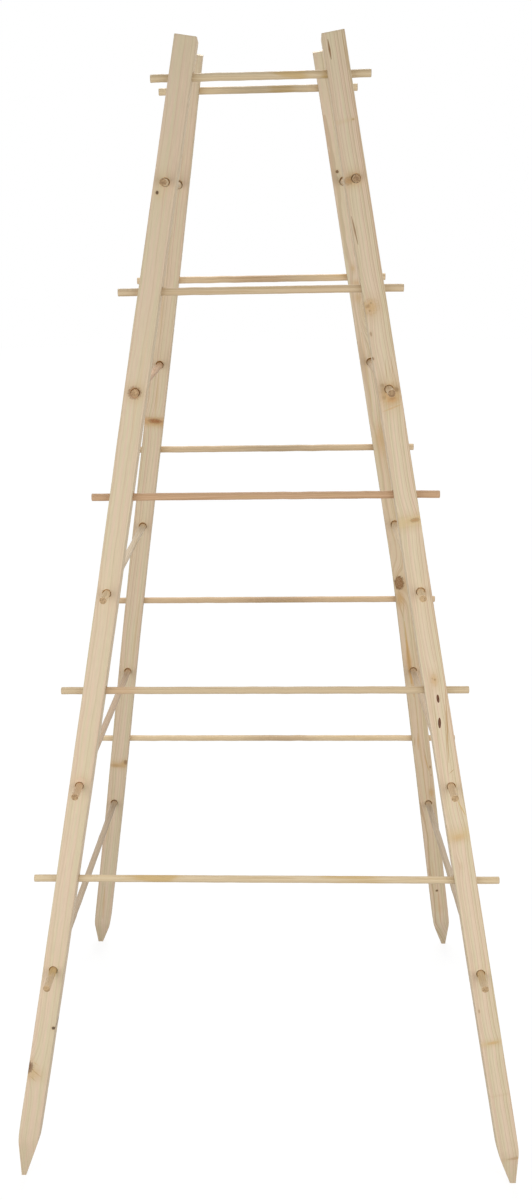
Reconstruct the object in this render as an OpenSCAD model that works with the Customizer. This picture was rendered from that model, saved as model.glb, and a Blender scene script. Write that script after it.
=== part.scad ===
// A free-standing climbing frame for plants: four square posts that lean
// inwards both ways, joined on each side by round rungs pushed through them.
// X runs from left to right, Y from front to back, Z up.
// The origin is on the ground, midway between the four feet.

/* [Stand] */
// Height of the post tops above the ground, on each post's centre line
stand_height = 1465; // [1100:5:1900]
// Depth between the front and back posts at the top, centre to centre
top_depth = 184; // [140:1:260]
// Depth between the front and back posts at the ground, centre to centre
foot_depth = 641; // [450:1:800]

/* [Front ladder] */
// Width between the two front posts at the top, centre to centre
front_top_width = 177; // [140:1:260]
// Width between the two front posts at the ground, centre to centre
front_foot_width = 665; // [450:1:800]

/* [Back ladder] */
// Width between the two back posts at the top, centre to centre
back_top_width = 174.5; // [140:0.5:260]
// Width between the two back posts at the ground, centre to centre
back_foot_width = 618; // [450:1:800]
// How far the tops of the back posts sit to the right of the stand's middle
back_top_slip = -5.5; // [-12:0.5:12]
// How far the feet of the back posts sit to the right of the stand's middle
back_foot_slip = -1; // [-12:0.5:12]

/* [Bent back right post] */
// How far the post bows to the right where it bends, at its big knot
bend = 12.5; // [1:0.5:20]
// Height of the bend above the ground
bend_height = 705; // [600:5:800]

/* [Posts] */
// Side of a post's square section
post_side = 28; // [22:1:40]
// Flat planed on each long edge of a post
post_arris = 0.8; // [0.4:0.1:2]
// Length of the four-sided point at a post's foot
point_length = 46; // [30:1:90]
// Width of the blunt tip that a foot stands on
tip_width = 8; // [4:0.5:14]

/* [Rungs] */
// Diameter of a rung
rung_d = 9.5; // [8:0.5:14]
// Chamfer on a rung's sawn ends
rung_chamfer = 0.5; // [0.2:0.1:1.5]
// Clearance all round a rung in its hole
rung_clearance = 0.2; // [0.1:0.05:0.4]
// Rungs on each of the four sides
rung_levels = 5; // [3:1:5]
// Drop from the post tops to the highest front and back rungs
top_rung_drop = 46; // [30:1:90]
// Height of the lowest front and back rungs
low_rung_height = 419; // [300:1:500]
// How far the side rungs lie below the even place of the front rungs
side_rung_drop = 121; // [60:1:140]
// How far each front rung lies below its even place, from the ground up
front_low = [1, 0, 2, 0.5, -0.5]; // [-4:0.5:4]
// How far each back rung lies below its even place, from the ground up
back_low = [0, -1, 0.5, 0, 0]; // [-4:0.5:4]

/* [Rung ends] */
// How far the front rungs stick out past the posts, at the top of the stand
tail_top = 24; // [15:0.5:60]
// How far they would stick out at the ground
tail_foot = 33; // [15:0.5:60]
// How far the side rungs stick out past the posts
side_tail = 38; // [15:0.5:60]
// How far each front rung sits to the right of centre, from the ground up
front_slip = [0, 0, 3, -1, 1]; // [-8:1:8]
// How far each back rung sits to the right of centre, from the ground up
back_slip = [-1, -3, 0, -3, -1]; // [-8:1:8]
// How much farther each left rung sticks out at both ends, from the ground up
left_extra = [8, -2, -5, -32, -4]; // [-36:1:20]
// How much farther each right rung sticks out at both ends, from the ground up
right_extra = [0, 0, -6, 2, -30]; // [-36:1:20]

/* [Hidden] */
LEFT = -1;
RIGHT = 1;
FRONT = -1;
BACK = 1;
LEVELS = [1 : rung_levels];

$fn = 64;

// Colours of the planed posts and of the turned rungs
post_tone = [0.84, 0.76, 0.65];
rung_tone = [0.78, 0.67, 0.51];

// Distance between two rungs of one side
rung_pitch = (stand_height - top_rung_drop - low_rung_height) / (rung_levels - 1);

// A size at height z that runs evenly from the ground to the post tops
function at_height(foot, top, z) = foot + (top - foot) * z / stand_height;

// Half the width of a ladder at height z, centre line to centre line
function half_width(face, z) =
    (face == FRONT ? at_height(front_foot_width, front_top_width, z)
                   : at_height(back_foot_width, back_top_width, z)) / 2;

// Half the depth of the stand at height z
function half_depth(z) = at_height(foot_depth, top_depth, z) / 2;

// How far a ladder's middle lies to the right of the stand's middle at height z
function ladder_slip(face, z) =
    face == FRONT ? 0 : at_height(back_foot_slip, back_top_slip, z);

// The heights between which a post runs straight
function straights(side, face) =
    side == RIGHT && face == BACK ? [0, bend_height, stand_height] : [0, stand_height];

// How far a post's centre line bows to the right at height z
function bow(side, face, z) =
    len(straights(side, face)) == 2 ? 0
    : bend * min(z / bend_height, (stand_height - z) / (stand_height - bend_height));

// The point on a post's centre line at height z
function post_point(side, face, z) = [
    ladder_slip(face, z) + side * half_width(face, z) + bow(side, face, z),
    face * half_depth(z),
    z
];

function ladder_rung_z(n) = low_rung_height + (n - 1) * rung_pitch;
function side_rung_z(n) = ladder_rung_z(n) - side_rung_drop;

// Front and back rungs of one level are cut to the same length
function ladder_rung_length(n) =
    2 * half_width(FRONT, ladder_rung_z(n)) + post_side
    + 2 * at_height(tail_foot, tail_top, ladder_rung_z(n));

// The two points at which a rung crosses the centre lines of its posts
function ladder_line(face, n) =
    let (low = face == FRONT ? front_low[n - 1] : back_low[n - 1])
    [for (side = [LEFT, RIGHT]) post_point(side, face, ladder_rung_z(n) - low)];
function side_line(side, n) =
    [for (face = [FRONT, BACK]) post_point(side, face, side_rung_z(n))];

// Puts a shape that runs along Z, centred on the origin, along a level line
module along(line) {
    run = line[1] - line[0];
    translate((line[0] + line[1]) / 2)
        rotate([0, 90, atan2(run.y, run.x)])
            children();
}

// A dowel, centred on the origin, with both ends chamfered
module dowel(length) {
    r = rung_d / 2;
    c = rung_chamfer;
    translate([0, 0, -length / 2])
        rotate_extrude()
            polygon([
                [0, 0], [r - c, 0], [r, c],
                [r, length - c], [r - c, length], [0, length]
            ]);
}

// The hole that a rung's line drills through the posts it meets
module drilled(line) {
    reach = norm(line[1] - line[0]) + 4 * post_side;
    along(line)
        cylinder(d = rung_d + 2 * rung_clearance, h = reach, center = true);
}

// What is sawn off a batten along Z, to leave a point with its tip at the origin
module around_point() {
    splay = atan((post_side - tip_width) / 2 / point_length);
    for (turn = [0 : 90 : 270])
        rotate([0, 0, turn])
            translate([tip_width / 2, 0, 0])
                rotate([0, splay, 0])
                    translate([0, -2 * post_side, -point_length])
                        cube([4 * post_side, 4 * post_side, 3 * point_length]);
}

// A pointed batten along Z. It runs on a little below its tip, which is at the
// origin, so that the tip can be cut level once the post leans.
module batten(length) {
    half = post_side / 2;
    a = post_arris;
    spare = tip_width / 2;
    difference() {
        translate([0, 0, -spare])
            linear_extrude(length + spare)
                polygon([
                    [half, a - half], [half, half - a], [half - a, half], [a - half, half],
                    [-half, half - a], [-half, a - half], [a - half, -half], [half - a, -half]
                ]);
        around_point();
    }
}

// The same, but bowed towards +X: its upper stretch turns back by an angle.
// On the bowed side all is cut off that lies outside either of the stretches,
// and on the hollow side what lies outside both.
module bent_batten(low, high, back) {
    half = post_side / 2;
    long = low + high;
    module stretch(n) {
        translate([0, 0, n * low])
            rotate([0, -n * back, 0])
                children();
    }
    // all that lies outside one face, or outside the arris between two faces
    module outside(turn) {
        reach = turn % 90 == 0 ? half : (2 * half - post_arris) / sqrt(2);
        rotate([0, 0, turn])
            translate([reach, -long, -2 * long])
                cube([long, 2 * long, 4 * long]);
    }
    difference() {
        translate([-long / 4, -half, -tip_width / 2])
            cube([long / 2, post_side, 2 * long]);
        for (turn = [-45, 0, 45]) {
            stretch(0) outside(turn);
            stretch(1) outside(turn);
            intersection() {
                stretch(0) outside(180 + turn);
                stretch(1) outside(180 + turn);
            }
        }
        stretch(1)
            translate([-long / 2, -long / 2, high])
                cube([long, long, 2 * long]);
        around_point();
    }
}

// A post where it stands, before it is drilled. Both posts of a ladder have
// their faces in the ladder's plane, which leans towards the stand's middle.
module standing(side, face) {
    marks = [for (z = straights(side, face)) post_point(side, face, z)];
    runs = [for (n = [1 : len(marks) - 1]) marks[n] - marks[n - 1]];
    tilts = [for (run = runs) atan2(run.x, norm([run.y, run.z]))];
    lean = atan2((foot_depth - top_depth) / 2, stand_height);
    translate(marks[0])
        rotate([face * lean, 0, 0])
            rotate([0, tilts[0], 0])
                if (len(runs) == 1)
                    batten(norm(runs[0]));
                else
                    bent_batten(norm(runs[0]), norm(runs[1]), tilts[0] - tilts[1]);
}

// A post with its foot's tip cut level with the ground, drilled for its rungs
module post(side, face) {
    foot = post_point(side, face, 0);
    difference() {
        standing(side, face);
        translate([foot.x - post_side, foot.y - post_side, -post_side])
            cube([2 * post_side, 2 * post_side, post_side]);
        for (n = LEVELS) {
            drilled(ladder_line(face, n));
            drilled(side_line(side, n));
        }
    }
}

module post_front_left() {
    color(post_tone) post(LEFT, FRONT);
}

module post_front_right() {
    color(post_tone) post(RIGHT, FRONT);
}

module post_back_left() {
    color(post_tone) post(LEFT, BACK);
}

module post_back_right() {
    color(post_tone) post(RIGHT, BACK);
}

module front_rung(n) {
    color(rung_tone)
        translate([front_slip[n - 1], 0, 0])
            along(ladder_line(FRONT, n))
                dowel(ladder_rung_length(n));
}

module back_rung(n) {
    color(rung_tone)
        translate([back_slip[n - 1], 0, 0])
            along(ladder_line(BACK, n))
                dowel(ladder_rung_length(n));
}

module side_rung(side, n) {
    line = side_line(side, n);
    tail = side_tail + (side == LEFT ? left_extra[n - 1] : right_extra[n - 1]);
    color(rung_tone)
        along(line)
            dowel(norm(line[1] - line[0]) + post_side + 2 * tail);
}

module left_rung(n) {
    side_rung(LEFT, n);
}

module right_rung(n) {
    side_rung(RIGHT, n);
}

post_front_left();
post_front_right();
post_back_left();
post_back_right();
for (n = LEVELS) {
    front_rung(n);
    back_rung(n);
    left_rung(n);
    right_rung(n);
}
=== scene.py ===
import math

import bmesh
import bpy
import numpy as np
from mathutils import Matrix, Vector


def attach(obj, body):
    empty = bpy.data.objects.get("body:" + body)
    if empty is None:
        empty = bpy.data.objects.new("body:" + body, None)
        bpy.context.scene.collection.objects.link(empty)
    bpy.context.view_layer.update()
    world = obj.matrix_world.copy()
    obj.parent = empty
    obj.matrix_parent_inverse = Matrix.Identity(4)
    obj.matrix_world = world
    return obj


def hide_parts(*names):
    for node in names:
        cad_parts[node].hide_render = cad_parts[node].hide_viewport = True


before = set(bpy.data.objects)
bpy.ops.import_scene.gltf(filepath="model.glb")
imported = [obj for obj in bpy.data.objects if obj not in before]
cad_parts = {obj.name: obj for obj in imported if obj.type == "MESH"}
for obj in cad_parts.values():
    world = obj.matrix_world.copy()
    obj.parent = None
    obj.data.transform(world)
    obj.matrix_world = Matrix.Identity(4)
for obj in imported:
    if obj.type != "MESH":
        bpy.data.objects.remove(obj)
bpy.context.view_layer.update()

# ---------------------------------------------------------------------------
# The posts: four square battens of planed, untreated spruce, 1.5 m long. Each
# is sawn square at the top and to a blunt four-sided point at the foot, and
# leans in both ways, so that the stand narrows towards the top.
# ---------------------------------------------------------------------------
STAND_HEIGHT = 1.465
FOOT_DEPTH, TOP_DEPTH = 0.641, 0.184
FOOT_WIDTH = {"front": 0.665, "back": 0.618}
TOP_WIDTH = {"front": 0.177, "back": 0.1745}
FOOT_SLIP = {"front": 0.0, "back": -0.001}
TOP_SLIP = {"front": 0.0, "back": -0.0055}
TOWARDS = {"left": -1, "right": 1, "front": -1, "back": 1}
POSTS = [("front", "left"), ("front", "right"), ("back", "left"), ("back", "right")]
POST_SIDE = 0.028
BATTEN_LENGTH = 1.5
MM = 0.001
# Each foot was pointed by hand: how far up the point starts, and how wide its
# blunt tip is. The corner between point and shaft is a little rounded.
POINTS = {
    ("front", "left"): (0.056, 0.0065), ("front", "right"): (0.048, 0.008),
    ("back", "left"): (0.047, 0.008), ("back", "right"): (0.053, 0.0065),
}
POINT_ROUND = 0.0012
# How far the point runs on below the ground before it is sawn level with it
TIP_SPARE = 0.004
# The back right batten bends at its big knot: how far it bows to the right
# there, at what height, and how sharply, from 0 for a mitre upwards.
BENDS = {("back", "right"): (0.0125, 0.705, 0.08)}


def bend(ladder, side, height, softness=0.0):
    """How far a post's middle bows to the right of its straight line."""
    if (ladder, side) not in BENDS:
        return 0.0 * height  # nought for one height, or for each of many
    reach, knee, _ = BENDS[ladder, side]
    low = height / knee
    high = (STAND_HEIGHT - height) / (STAND_HEIGHT - knee)
    return reach * (low + high - np.sqrt((low - high) ** 2 + softness ** 2)) / 2


def between(low, high, share):
    """The number that lies a share of the way from a low end to a high end."""
    return low + (high - low) * share


def chord(ladder, side, height):
    """The point at a height on the straight line from a post's foot to its top."""
    share = height / STAND_HEIGHT
    width = between(FOOT_WIDTH[ladder], TOP_WIDTH[ladder], share)
    slip = between(FOOT_SLIP[ladder], TOP_SLIP[ladder], share)
    depth = between(FOOT_DEPTH, TOP_DEPTH, share)
    return Vector((slip + TOWARDS[side] * width / 2, TOWARDS[ladder] * depth / 2, height))


def post_line(ladder, side, height):
    """The point on a post's centre line at a height above the ground."""
    return chord(ladder, side, height) + Vector((bend(ladder, side, height), 0, 0))


def post_stance(ladder, side):
    """A post's length, and the turn and place that stand it on its foot."""
    foot = chord(ladder, side, 0)
    run = chord(ladder, side, STAND_HEIGHT) - foot
    lean = math.atan2(abs(run.y), run.z)
    spread = math.atan2(abs(run.x), math.hypot(run.y, run.z))
    turn = Matrix.Rotation(TOWARDS[ladder] * lean, 4, "X")
    turn = turn @ Matrix.Rotation(-TOWARDS[side] * spread, 4, "Y")
    return run.length, Matrix.Translation(foot) @ turn


# A long batten is never quite straight: how far each one also wanders, left to
# right, round the middle of its length, and over what reach either way.
WANDER = {
    ("front", "left"): 0.0010, ("front", "right"): -0.0004,
    ("back", "left"): -0.0019, ("back", "right"): 0.0,
}
WANDER_MIDDLE, WANDER_REACH = 0.69, 0.42
# The front left one also kicks out a little towards its foot
KICK = {("front", "left"): -0.0020}
KICK_REACH = 0.45


def bow(post, along, length):
    """How far a batten's middle lies to the right of its straight line."""
    share = np.clip(np.abs(along - WANDER_MIDDLE) / WANDER_REACH, 0, 1)
    height = np.clip(along / length, 0, 1) * STAND_HEIGHT
    softness = BENDS[post][2] if post in BENDS else 0.0
    kick = KICK.get(post, 0.0) * np.clip(1 - along / KICK_REACH, 0, 1) ** 2
    return WANDER[post] * 0.5 * (1 + np.cos(math.pi * share)) + kick + bend(*post, height, softness)


# The long edges are eased by a plane, more in some places than in others and less
# on the point, and the faces wave by a hair. Each wave: its strength for the
# whole, and how many radians it turns in a metre.
ARRIS, ARRIS_STEPS = 0.0011, 4
ARRIS_LEVEL, ARRIS_WAVES = 0.9, ((0.25, 31), (0.2, 83))
POINT_ARRIS = 0.45
FACE_WAVE, FACE_WAVES = 0.00012, ((1.0, 12), (0.6, 47))
# Where a batten's outline is taken: up its point, close together round the
# shoulder of the point, evenly up the shaft between two margins, and just under
# the sawn top, where the sides draw in a little.
POINT_RINGS = (0.012, 0.026)
SHOULDER_REACH, SHOULDER_RINGS = 0.012, 9
RING_SPACING = 0.008
SHAFT_MARGINS, SHAFT_TRIM = (0.018, 0.003), 0.002
TOP_RINGS = ((0.0007, 0.0), (0.0002, 0.0002), (0.0, 0.0006))
# The seed of the first batten's waves; the next ones follow it
FIRST_SEED = 11


def post_section(half, arris):
    """A square with rounded corners, as points round a batten."""
    points = []
    for corner in range(4):
        for step in range(ARRIS_STEPS + 1):
            angle = math.radians(corner * 90 + 90 * step / ARRIS_STEPS)
            middle = math.radians(corner * 90 + 45)
            reach = (half - arris) * math.sqrt(2)
            points.append((
                reach * math.cos(middle) + arris * math.cos(angle),
                reach * math.sin(middle) + arris * math.sin(angle),
            ))
    return points


def wave(waves, phases, at):
    """What a few waves come to at a place along a batten."""
    return sum(size * math.sin(at * pace + phase) for (size, pace), phase in zip(waves, phases))


def skin(mesh, rings):
    """Closes the rings of points of one solid, all round and at both ends."""
    around = len(rings[0])
    for low, high in zip(rings, rings[1:]):
        for k in range(around):
            after = (k + 1) % around
            mesh.faces.new((low[k], low[after], high[after], high[k]))
    mesh.faces.new(rings[0][::-1])
    mesh.faces.new(rings[-1])


def batten(post, length, seed):
    """A pointed batten along Z with its tip at the origin, before it is drilled."""
    dice = np.random.default_rng(seed)
    edge_phases, slow_phases, quick_phases = dice.uniform(0, 2 * math.pi, (3, 2))
    shoulder, tip = POINTS[post]
    count = int((length - SHAFT_TRIM - shoulder) / RING_SPACING)
    places = [-TIP_SPARE, *POINT_RINGS]
    places += list(np.linspace(shoulder - SHOULDER_REACH, shoulder + SHOULDER_REACH, SHOULDER_RINGS))
    places += list(np.linspace(shoulder + SHAFT_MARGINS[0], length - SHAFT_MARGINS[1], count))
    stations = [(at, 0.0) for at in places] + [(length - under, ease) for under, ease in TOP_RINGS]
    mesh = bmesh.new()
    rings = []
    for at, ease in stations:
        half = POST_SIDE / 2
        pointed = tip / 2 + (POST_SIDE - tip) / 2 * at / shoulder
        half = (half + pointed - math.hypot(half - pointed, POINT_ROUND)) / 2 - ease
        arris = ARRIS * (ARRIS_LEVEL + wave(ARRIS_WAVES, edge_phases, at))
        if at < shoulder:
            arris *= POINT_ARRIS
        aside, back = (
            FACE_WAVE * wave(FACE_WAVES, phases, at) for phases in zip(slow_phases, quick_phases)
        )
        aside += float(bow(post, at, length))
        rings.append([mesh.verts.new((x + aside, y + back, at)) for x, y in post_section(half, arris)])
    skin(mesh, rings)
    return mesh


# The holes: bored to fit the rungs, but torn wider at both mouths, mostly above
# the rung. For each: how wide and how deep the mouth is, and how far it rises.
RUNG_LEVELS = range(1, 6)
LOW_RUNG = 0.419
RUNG_PITCH = 0.250
SIDE_RUNG_DROP = 0.121
# How far each rung lies below its even place, from the ground up, in mm
RUNG_LOW = {"front": (1, 0, 2, 0.5, -0.5), "back": (0, -1, 0.5, 0, 0)}
BORE = 0.0101
SIDE_MOUTH, LADDER_MOUTH = (0.0123, 0.0022, 0.0009), (0.0115, 0.0018, 0.0007)
HOLE_FACETS = 40
# How far past the face a mouth keeps its width, and how far the cut runs on
MOUTH_LIP, BORE_SPARE = 0.001, 0.02


def even_height(level):
    """The height at which the front and back rungs of a level would lie if all were even."""
    return LOW_RUNG + (level - 1) * RUNG_PITCH


def rung_ends(kind, level):
    """The two points at which a rung crosses the centre lines of its posts."""
    height = even_height(level)
    if kind in ("front", "back"):
        height -= RUNG_LOW[kind][level - 1] * MM
        return [post_line(kind, side, height) for side in ("left", "right")]
    height -= SIDE_RUNG_DROP
    return [post_line(ladder, kind, height) for ladder in ("front", "back")]


def bore(mesh, post, ends, mouth):
    """Adds one hole, from mouth to mouth of one post, to a mesh of cutters."""
    here = min(ends, key=lambda end: (end - post_line(*post, end.z)).length)
    along = (ends[1] - ends[0]).normalized()
    aside = Vector((0, 0, 1)).cross(along).normalized()
    up = along.cross(aside)
    width, depth, rise = mouth
    face = POST_SIDE / 2
    half = [(face - depth, BORE, 0), (face + MOUTH_LIP, width, rise), (face + BORE_SPARE, width, rise)]
    outline = [(-out, across, lift) for out, across, lift in half[::-1]] + half
    rings = []
    for out, across, lift in outline:
        middle = here + along * out + up * lift
        rings.append([
            mesh.verts.new(middle + (aside * math.cos(turn) + up * math.sin(turn)) * across / 2)
            for turn in np.linspace(0, 2 * math.pi, HOLE_FACETS, endpoint=False)
        ])
    skin(mesh, rings)


# Resin pockets: lens-shaped hollows that the plane has opened along the grain.
# For each: across and along the front face, length, width and tilt, in mm and
# degrees.
RESIN_POCKETS = {
    "front_right": [(0.6, 677.0, 11.0, 3.6, 2.0), (-2.2, 645.5, 14.0, 3.8, 7.0)],
}
POCKET_DEPTH = 0.0016


def resin_pocket(mesh, stance, pocket):
    """Adds the lens that hollows out one resin pocket to a mesh of cutters."""
    across, along, length, width, tilt = pocket
    place = stance @ Matrix.Translation((across * MM, -POST_SIDE / 2, along * MM))
    place = place @ Matrix.Rotation(math.radians(tilt), 4, "Y")
    size = (width * MM / 2, POCKET_DEPTH, length * MM / 2)
    place = place @ Matrix.Diagonal(size).to_4x4()
    bmesh.ops.create_icosphere(mesh, subdivisions=3, radius=1.0, matrix=place)


def object_of(name, mesh):
    """Links a finished mesh as an object that sits at the origin."""
    bmesh.ops.recalc_face_normals(mesh, faces=mesh.faces)
    data = bpy.data.meshes.new(name)
    mesh.to_mesh(data)
    mesh.free()
    piece = bpy.data.objects.new(name, data)
    bpy.context.scene.collection.objects.link(piece)
    return piece


def cut(piece, cutters, material):
    """Cuts a mesh of solids out of a piece and leaves their finish on the cut."""
    cutters.data.materials.append(material)
    modifier = piece.modifiers.new("cut", "BOOLEAN")
    modifier.operation = "DIFFERENCE"
    modifier.solver = "EXACT"
    modifier.object = cutters
    modifier.material_mode = "TRANSFER"
    graph = bpy.context.evaluated_depsgraph_get()
    data = bpy.data.meshes.new_from_object(piece.evaluated_get(graph))
    piece.modifiers.clear()
    old = piece.data
    piece.data = data
    bpy.data.meshes.remove(old)
    bpy.data.objects.remove(cutters)


def put(tree, kind, feeds=None, **settings):
    """Adds a node to a tree, with its settings and what feeds its inputs."""
    node = tree.nodes.new(kind)
    for name, value in settings.items():
        setattr(node, name, value)
    for socket, feed in (feeds or {}).items():
        if isinstance(feed, bpy.types.NodeSocket):
            tree.links.new(feed, node.inputs[socket])
        else:
            node.inputs[socket].default_value = feed
    return node


def figure(tree, sum_kind, *feeds):
    """The result of a sum in a tree."""
    return put(tree, "ShaderNodeMath", dict(enumerate(feeds)), operation=sum_kind).outputs[0]


def vector(tree, sum_kind, *feeds):
    """The result of a sum of vectors in a tree."""
    node = put(tree, "ShaderNodeVectorMath", dict(enumerate(feeds)), operation=sum_kind)
    return node.outputs["Value" if sum_kind in ("LENGTH", "DOT_PRODUCT") else "Vector"]


def scaled(tree, direction, amount):
    """A vector, or a colour, times a number."""
    node = put(tree, "ShaderNodeVectorMath", {0: direction, 3: amount}, operation="SCALE")
    return node.outputs["Vector"]


def joined(tree, x, y, z=0.0):
    """Three numbers as one vector."""
    return put(tree, "ShaderNodeCombineXYZ", {0: x, 1: y, 2: z}).outputs[0]


def split(tree, whole):
    """The three numbers of a vector."""
    return put(tree, "ShaderNodeSeparateXYZ", {0: whole}).outputs


def held(tree, value):
    """A value kept between 0 and 1."""
    return put(tree, "ShaderNodeClamp", {"Value": value}).outputs[0]


def ramp(tree, value, low, high, start=0.0, end=1.0):
    """A value's smooth climb from start to end, as it goes from low to high."""
    feeds = {"Value": value, "From Min": low, "From Max": high, "To Min": start, "To Max": end}
    return put(tree, "ShaderNodeMapRange", feeds, interpolation_type="SMOOTHSTEP").outputs[0]


def tint(tree, share, under, over, kind="MIX"):
    """One colour laid over another, in a share from 0 to 1."""
    feeds = {0: share, 6: under, 7: over}  # its inputs 6 and 7 are the two colours
    return put(tree, "ShaderNodeMix", feeds, data_type="RGBA", blend_type=kind).outputs[2]


def shade(red, green, blue):
    """A colour as it looks on a screen, from 0 to 255, as shares of light."""
    return (*(((c / 255 + 0.055) / 1.055) ** 2.4 for c in (red, green, blue)), 1.0)


# Noise lies between 0 and 1: most of it between the first two numbers, and the
# middle of it between the second two.
NOISE_MOST, NOISE_MIDDLE = (0.3, 0.7), (0.35, 0.65)


def noise_along(tree, along, detail):
    """Noise that changes along one number."""
    feeds = {"W": along, "Detail": detail}
    return put(tree, "ShaderNodeTexNoise", feeds, noise_dimensions="1D").outputs[0]


def grain_noise(tree, place, scale, detail=2.0, batch=None):
    """Noise drawn out along the grain, by its scale across and along; each batch has its own."""
    drawn = put(tree, "ShaderNodeMapping", {"Vector": place, "Scale": scale}).outputs[0]
    feeds = {"Vector": drawn, "Scale": 1.0, "Detail": detail}
    if batch is None:
        return put(tree, "ShaderNodeTexNoise", feeds).outputs[0]
    return put(tree, "ShaderNodeTexNoise", {**feeds, "W": batch}, noise_dimensions="4D").outputs[0]


def pith_distance(tree, place, pith_x, pith_y):
    """How far a point lies from the pith, round which the yearly rings run."""
    across = figure(tree, "SUBTRACT", place[0], pith_x)
    back = figure(tree, "SUBTRACT", place[1], pith_y)
    return vector(tree, "LENGTH", joined(tree, across, back))


def late_wood(tree, years, start, full, end):
    """How dark the wood is at a time of the year: it darkens slowly and stops at once."""
    season = figure(tree, "FRACT", years)
    return figure(tree, "MULTIPLY", ramp(tree, season, start, full), ramp(tree, season, 1.0, end))


def lines_of(tree, late, fibre, shares):
    """The late wood and the fibres together, each in its own share."""
    return figure(tree, "MULTIPLY_ADD", late, shares[0], figure(tree, "MULTIPLY", fibre, shares[1]))


def blank_material(name):
    """A new material with an empty tree."""
    material = bpy.data.materials.new(name)
    material.use_nodes = True
    material.node_tree.nodes.clear()
    return material, material.node_tree


def attribute(tree, name, kind="Fac"):
    """What each point or face of a piece holds under a name."""
    return put(tree, "ShaderNodeAttribute", attribute_name=name).outputs[kind]


WOOD_SHEEN, WOOD_RELIEF = 0.3, 0.35


def bare_wood(tree, colour, rough, relief, depth, strength=WOOD_RELIEF):
    """Ends a material's tree in the surface of bare wood, with a fine relief."""
    bump = put(tree, "ShaderNodeBump", {"Strength": strength, "Distance": depth, "Height": relief})
    surface = put(tree, "ShaderNodeBsdfPrincipled", {
        "Base Color": colour, "Roughness": rough, "Normal": bump.outputs[0],
        "Specular IOR Level": WOOD_SHEEN,
    })
    put(tree, "ShaderNodeOutputMaterial", {"Surface": surface.outputs[0]})


def mark_group(name, vectors, numbers, outputs):
    """A new shader group, fed by vectors and numbers, that works out some numbers."""
    tree = bpy.data.node_groups.new(name, "ShaderNodeTree")
    sockets = [(label, "INPUT", "Vector") for label in vectors]
    sockets += [(label, "INPUT", "Float") for label in numbers]
    sockets += [(label, "OUTPUT", "Float") for label in outputs]
    for label, way, kind in sockets:
        tree.interface.new_socket(label, in_out=way, socket_type="NodeSocket" + kind)
    return tree, tree.nodes.new("NodeGroupInput").outputs, tree.nodes.new("NodeGroupOutput").inputs


# A knot's make-up, in its own radii: how ragged its edge is, where its heart
# begins and is full, how much a soft one moves both, its own rings, its dark rim's
# two sides and its halo, and how its pull on the grain is drawn out and fades. The
# scale of the raggedness alone is in patterns to the metre.
KNOT_RAG, KNOT_RAG_SCALE = 0.9, 420.0
HEART_EDGES, HEART_SOFTENED = (1.08, 0.82), (0.5, -0.75)
HEART_RINGS, HEART_RING_DEPTH = 17.0, 0.14
RIM_INSIDE, RIM_OUTSIDE = (0.62, 0.95), (1.22, 1.0)
HALO_EDGES = (2.6, 0.9)
SWEEP_STRETCH, SWEEP_FADE = 0.42, -0.42


def knot_group():
    """A knot: the round stump of a branch, with the grain swept round it."""
    tree, given, result = mark_group(
        "knot", ("Timber", "Place", "Axis"), ("Radius", "Tall", "Soft", "Sweep"),
        ("Heart", "Rim", "Halo", "Sweep"),
    )
    soft = given["Soft"]
    off = vector(tree, "SUBTRACT", given["Timber"], given["Place"])
    along = vector(tree, "DOT_PRODUCT", off, given["Axis"])
    x, y, z = split(tree, vector(tree, "SUBTRACT", off, scaled(tree, given["Axis"], along)))
    z = figure(tree, "DIVIDE", z, given["Tall"])
    reach = figure(tree, "DIVIDE", vector(tree, "LENGTH", joined(tree, x, y, z)), given["Radius"])
    rag = {"Vector": given["Timber"], "Scale": KNOT_RAG_SCALE, "Detail": 2.0}
    ragged = put(tree, "ShaderNodeTexNoise", rag).outputs[0]
    edge = figure(tree, "ADD", reach, figure(tree, "MULTIPLY_ADD", ragged, KNOT_RAG, -KNOT_RAG / 2))
    far, near = (
        figure(tree, "MULTIPLY_ADD", soft, softened, crisp)
        for crisp, softened in zip(HEART_EDGES, HEART_SOFTENED)
    )
    rings = figure(tree, "SINE", figure(tree, "MULTIPLY", edge, HEART_RINGS))
    rings = figure(tree, "MULTIPLY_ADD", rings, HEART_RING_DEPTH, 1 - HEART_RING_DEPTH)
    rim = figure(tree, "MULTIPLY", ramp(tree, edge, *RIM_INSIDE), ramp(tree, edge, *RIM_OUTSIDE))
    # the grain is pushed aside over a length of several knots
    drawn = joined(tree, x, y, figure(tree, "MULTIPLY", z, SWEEP_STRETCH))
    swept = figure(tree, "DIVIDE", vector(tree, "LENGTH", drawn), given["Radius"])
    swept = figure(tree, "MULTIPLY", figure(tree, "MULTIPLY", swept, swept), SWEEP_FADE)
    swept = figure(tree, "POWER", math.e, swept)
    results = {
        "Heart": figure(tree, "MULTIPLY", ramp(tree, edge, far, near), rings),
        "Rim": figure(tree, "MULTIPLY", rim, figure(tree, "SUBTRACT", 1.0, soft)),
        "Halo": ramp(tree, reach, *HALO_EDGES),
        "Sweep": figure(tree, "MULTIPLY", swept, given["Sweep"]),
    }
    for label, value in results.items():
        tree.links.new(value, result[label])
    return tree


# How wide a streak is at its tips, for its middle, and over which part of its half
# width it fades
STREAK_TIP, STREAK_EDGES = 0.3, (1.0, 0.15)


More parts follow.
